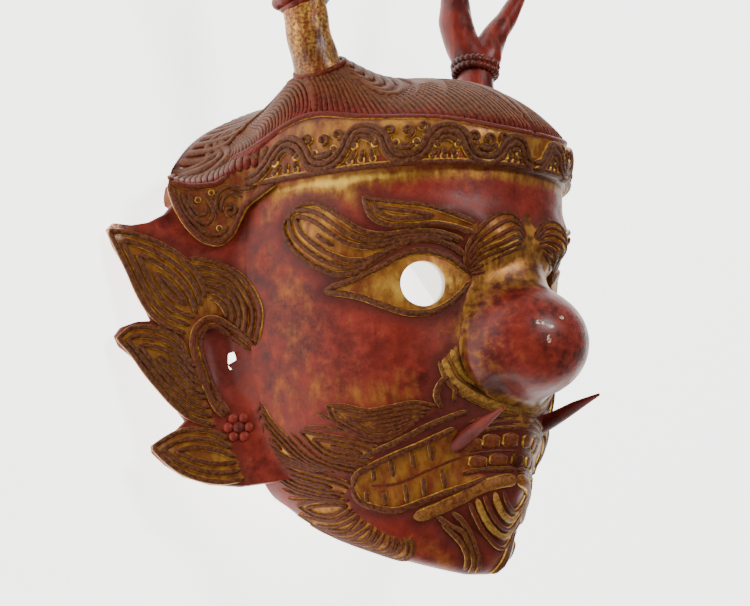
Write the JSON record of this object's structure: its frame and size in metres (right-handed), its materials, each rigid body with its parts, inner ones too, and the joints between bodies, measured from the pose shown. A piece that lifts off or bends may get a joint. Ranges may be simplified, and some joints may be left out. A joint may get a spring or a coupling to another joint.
{
  "type": "tibetan cham mask",
  "caption": "Horned protector dance mask: a lacquered papier-mache face with bulb nose, fangs, leaf ears, crown band and forked antlers, worn over the head.",
  "frame": {"origin": "centre of the bounding box in plan, on the surface that the mask lies on", "axes": "+Z out of the face, +Y towards the crown and the antlers, +X towards the mask's left ear"},
  "size_m": [0.2668, 0.3746, 0.184],
  "materials": {
    "lacquered_papier_mache": "aged satin lacquer with rubbed gilding",
    "gilded_branch": "worn gilding over red lacquer",
    "lacquered_branch": "satin red lacquer"
  },
  "bodies": {
    "root": {"mask_shell": "lacquered_papier_mache", "antler_right": "gilded_branch", "antler_left": "lacquered_branch"}
  },
  "joints": []
}
